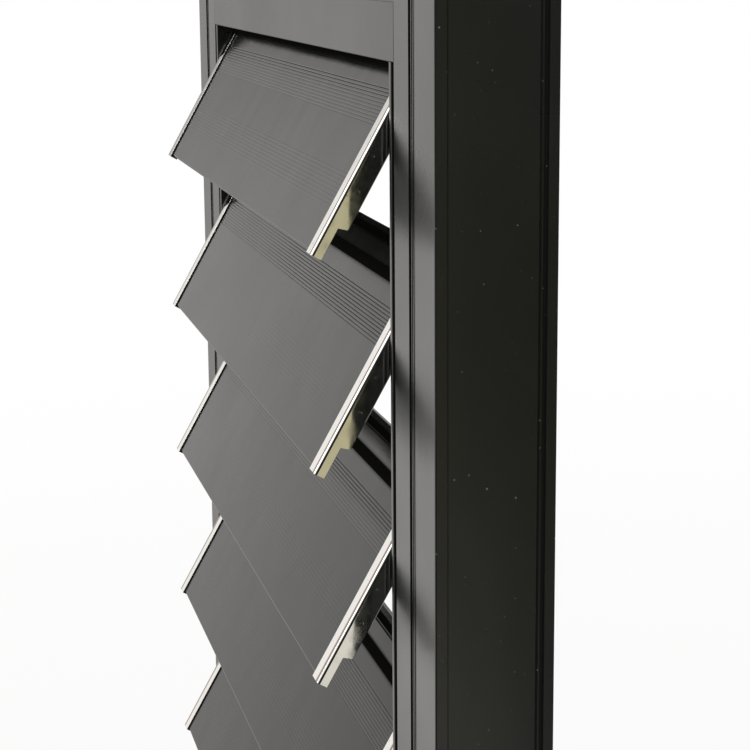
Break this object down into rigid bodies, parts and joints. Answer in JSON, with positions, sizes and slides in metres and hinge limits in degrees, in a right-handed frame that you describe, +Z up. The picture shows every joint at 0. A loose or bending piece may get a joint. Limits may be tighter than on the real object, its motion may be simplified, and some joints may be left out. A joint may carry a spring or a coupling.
{
  "type": "jalousie window",
  "caption": "Louvre window: hollow metal frame with tilted metal blades held in end clips, pivoted in side stiles and linked by hidden bars.",
  "frame": {"origin": "middle of the sill's underside, halfway through the frame's depth", "axes": "+Z up, -Y the outdoor side where the louvres' lower edges stand out, +X to the right seen from outdoors"},
  "size_m": [0.63, 0.1146, 0.73],
  "materials": {
    "frame_coat": "matte",
    "louvre_coat": "matte",
    "clip_stainless": "polished",
    "zinc_steel": "satin",
    "bush_nylon": "satin",
    "grip_plastic": "satin",
    "seal_rubber": "matte"
  },
  "bodies": {
    "root": {"head": "frame_coat", "head_seal": "seal_rubber", "left_bushes": "bush_nylon", "left_clip_1": "clip_stainless", "left_clip_2": "clip_stainless", "left_clip_3": "clip_stainless", "left_clip_4": "clip_stainless", "left_clip_5": "clip_stainless", "left_clip_6": "clip_stainless", "left_cranks": "zinc_steel", "left_jamb": "frame_coat", "left_link_bar": "zinc_steel", "left_pivots": "zinc_steel", "left_stile": "frame_coat", "lever_arm": "zinc_steel", "lever_grip": "grip_plastic", "louvre_1": "louvre_coat", "louvre_2": "louvre_coat", "louvre_3": "louvre_coat", "louvre_4": "louvre_coat", "louvre_5": "louvre_coat", "louvre_6": "louvre_coat", "right_bushes": "bush_nylon", "right_clip_1": "clip_stainless", "right_clip_2": "clip_stainless", "right_clip_3": "clip_stainless", "right_clip_4": "clip_stainless", "right_clip_5": "clip_stainless", "right_clip_6": "clip_stainless", "right_cranks": "zinc_steel", "right_jamb": "frame_coat", "right_link_bar": "zinc_steel", "right_pivots": "zinc_steel", "right_stile": "frame_coat", "sill": "frame_coat", "sill_seal": "seal_rubber"}
  },
  "joints": []
}
